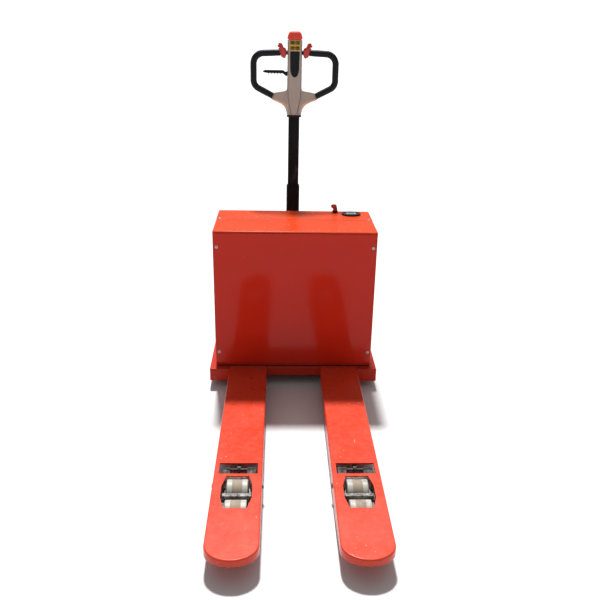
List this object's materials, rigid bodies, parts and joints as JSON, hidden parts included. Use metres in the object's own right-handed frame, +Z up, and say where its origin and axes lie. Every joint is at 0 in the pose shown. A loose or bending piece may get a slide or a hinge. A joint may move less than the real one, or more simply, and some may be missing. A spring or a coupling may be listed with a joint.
{
  "type": "pallet jack",
  "caption": "Electric pallet truck with a tall battery box, pallet forks on tandem load rollers, and a tipping, steering tiller with a looped handle head.",
  "frame": {"origin": "on the floor, midway between the fork tips and the rear bumper, on the middle plane, forks lowered and tiller upright", "axes": "+X to the truck's side with the battery gauge, +Y from the fork tips to the drive unit, +Z up"},
  "size_m": [0.718, 1.876, 1.435],
  "materials": {
    "red_paint": "gloss",
    "dark_paint": "satin",
    "black_plastic": "matte",
    "grey_plastic": "satin",
    "grip_rubber": "matte",
    "red_plastic": "semi-gloss",
    "cast_metal": "as cast, worn",
    "bright_steel": "machined",
    "roller_nylon": "worn",
    "wheel_rubber": "worn",
    "gauge_glass": "clear",
    "keypad_ochre": "satin",
    "battery_case": "matte"
  },
  "bodies": {
    "chassis": {"drive_frame": "dark_paint", "guide_posts": "bright_steel", "lift_cylinder": "dark_paint", "drive_hood": "red_paint", "bumper": "grip_rubber", "pump_unit": "dark_paint", "slewing_ring": "bright_steel"},
    "carriage": {"fork_left": "red_paint", "fork_right": "red_paint", "base_frame": "red_paint", "box_shell": "red_paint", "front_panel": "red_paint", "lid_front": "red_paint", "lid_rear": "red_paint", "seal_strip": "grip_rubber", "panel_screws": "bright_steel", "batteries": "battery_case", "controller": "dark_paint", "gauge_bezel": "grey_plastic", "gauge_lens": "gauge_glass", "isolator_base": "black_plastic", "lift_ram": "bright_steel", "guide_bushes": "bright_steel", "arm_axles": "bright_steel", "wall_bolts": "bright_steel"},
    "isolator": {"isolator_key": "red_plastic"},
    "arms": {"roller_arm_left": "cast_metal", "roller_arm_right": "cast_metal", "arm_pins": "bright_steel"},
    "bogies": {"bogie_left": "cast_metal", "bogie_right": "cast_metal", "roller_axles": "bright_steel"},
    "roller_left_front": {"roller_left_front": "roller_nylon"},
    "roller_left_rear": {"roller_left_rear": "roller_nylon"},
    "roller_right_front": {"roller_right_front": "roller_nylon"},
    "roller_right_rear": {"roller_right_rear": "roller_nylon"},
    "rods": {"push_rods": "cast_metal"},
    "cranks": {"bell_cranks": "cast_metal"},
    "steering": {"gearbox_housing": "cast_metal", "steering_column": "dark_paint", "drive_motor": "dark_paint", "tiller_bracket": "dark_paint", "tiller_pin": "bright_steel"},
    "drive_wheel": {"drive_tyre": "wheel_rubber", "drive_hub": "cast_metal"},
    "castor_left": {"castor_fork_left": "bright_steel"},
    "castor_right": {"castor_fork_right": "bright_steel"},
    "castor_left_wheel": {"castor_wheel_left": "wheel_rubber"},
    "castor_right_wheel": {"castor_wheel_right": "wheel_rubber"},
    "tiller": {"tiller_sleeve": "dark_paint", "tiller_post": "dark_paint", "tiller_collar": "black_plastic", "head_front_shell": "grey_plastic", "head_rear_shell": "grey_plastic", "handle_grips": "grip_rubber", "palm_pad": "black_plastic", "keypad": "keypad_ochre"},
    "throttle": {"throttle_butterfly": "red_plastic"},
    "belly": {"belly_button": "red_plastic"},
    "lever": {"lowering_lever": "black_plastic"}
  },
  "joints": [
    {"name": "lift", "type": "slide", "parent": "chassis", "child": "carriage", "axis": [0, 0, 1], "range_m": [0, 0.105]},
    {"name": "arm_swing", "type": "hinge", "parent": "carriage", "child": "arms", "pos_m": [0, -0.513, 0.04], "axis": [1, 0, 0], "range_deg": [0, 58.4]},
    {"name": "bogie_level", "type": "hinge", "parent": "arms", "child": "bogies", "pos_m": [0, -0.633, 0.046], "axis": [1, 0, 0], "range_deg": [-58.4, 0]},
    {"name": "rod_push", "type": "slide", "parent": "carriage", "child": "rods", "axis": [0, -1, 0], "range_m": [0, 0.0293]},
    {"name": "crank_turn", "type": "hinge", "parent": "carriage", "child": "cranks", "pos_m": [0, 0.59, 0.0962], "axis": [-1, 0, 0], "range_deg": [0, 58.4]},
    {"name": "roller_left_front_spin", "type": "hinge", "parent": "bogies", "child": "roller_left_front", "pos_m": [-0.195, -0.6853, 0.04], "axis": [1, 0, 0], "continuous": true},
    {"name": "roller_left_rear_spin", "type": "hinge", "parent": "bogies", "child": "roller_left_rear", "pos_m": [-0.195, -0.5807, 0.04], "axis": [1, 0, 0], "continuous": true},
    {"name": "roller_right_front_spin", "type": "hinge", "parent": "bogies", "child": "roller_right_front", "pos_m": [0.195, -0.6853, 0.04], "axis": [1, 0, 0], "continuous": true},
    {"name": "roller_right_rear_spin", "type": "hinge", "parent": "bogies", "child": "roller_right_rear", "pos_m": [0.195, -0.5807, 0.04], "axis": [1, 0, 0], "continuous": true},
    {"name": "steer", "type": "hinge", "parent": "chassis", "child": "steering", "pos_m": [0, 0.78, 0.3], "axis": [0, 0, 1], "range_deg": [-90, 90]},
    {"name": "drive_wheel_spin", "type": "hinge", "parent": "steering", "child": "drive_wheel", "pos_m": [0, 0.78, 0.115], "axis": [1, 0, 0], "continuous": true},
    {"name": "tiller_tip", "type": "hinge", "parent": "steering", "child": "tiller", "pos_m": [0, 0.875, 0.492], "axis": [-1, 0, 0], "range_deg": [0, 80], "stiffness_Nm_per_rad": 60, "springref_deg": -17.19},
    {"name": "throttle_turn", "type": "hinge", "parent": "tiller", "child": "throttle", "pos_m": [0, 0.875, 1.344], "axis": [1, 0, 0], "range_deg": [-25, 25], "stiffness_Nm_per_rad": 0.6},
    {"name": "belly_press", "type": "slide", "parent": "tiller", "child": "belly", "axis": [0, 0, -1], "range_m": [0, 0.006], "stiffness_N_per_m": 900, "springref_m": -0.003},
    {"name": "lowering_pull", "type": "hinge", "parent": "tiller", "child": "lever", "pos_m": [-0.042, 0.875, 1.254], "axis": [0, 1, 0], "range_deg": [0, 20], "stiffness_Nm_per_rad": 0.6, "springref_deg": -8.59},
    {"name": "isolator_turn", "type": "hinge", "parent": "carriage", "child": "isolator", "pos_m": [0.183, 0.545, 0.69], "axis": [0, 0, 1], "range_deg": [0, 90]},
    {"name": "castor_left_swivel", "type": "hinge", "parent": "chassis", "child": "castor_left", "pos_m": [-0.225, 0.832, 0.13], "axis": [0, 0, 1], "continuous": true},
    {"name": "castor_left_spin", "type": "hinge", "parent": "castor_left", "child": "castor_left_wheel", "pos_m": [-0.225, 0.802, 0.05], "axis": [1, 0, 0], "continuous": true},
    {"name": "castor_right_swivel", "type": "hinge", "parent": "chassis", "child": "castor_right", "pos_m": [0.225, 0.832, 0.13], "axis": [0, 0, 1], "continuous": true},
    {"name": "castor_right_spin", "type": "hinge", "parent": "castor_right", "child": "castor_right_wheel", "pos_m": [0.225, 0.802, 0.05], "axis": [1, 0, 0], "continuous": true}
  ],
  "couplings": [
    {"joint": "arm_swing", "follows": "lift", "rad_per_m": 9.6974},
    {"joint": "bogie_level", "follows": "lift", "rad_per_m": -9.6974},
    {"joint": "rod_push", "follows": "lift", "ratio": 0.27852},
    {"joint": "crank_turn", "follows": "lift", "rad_per_m": 9.6974}
  ]
}
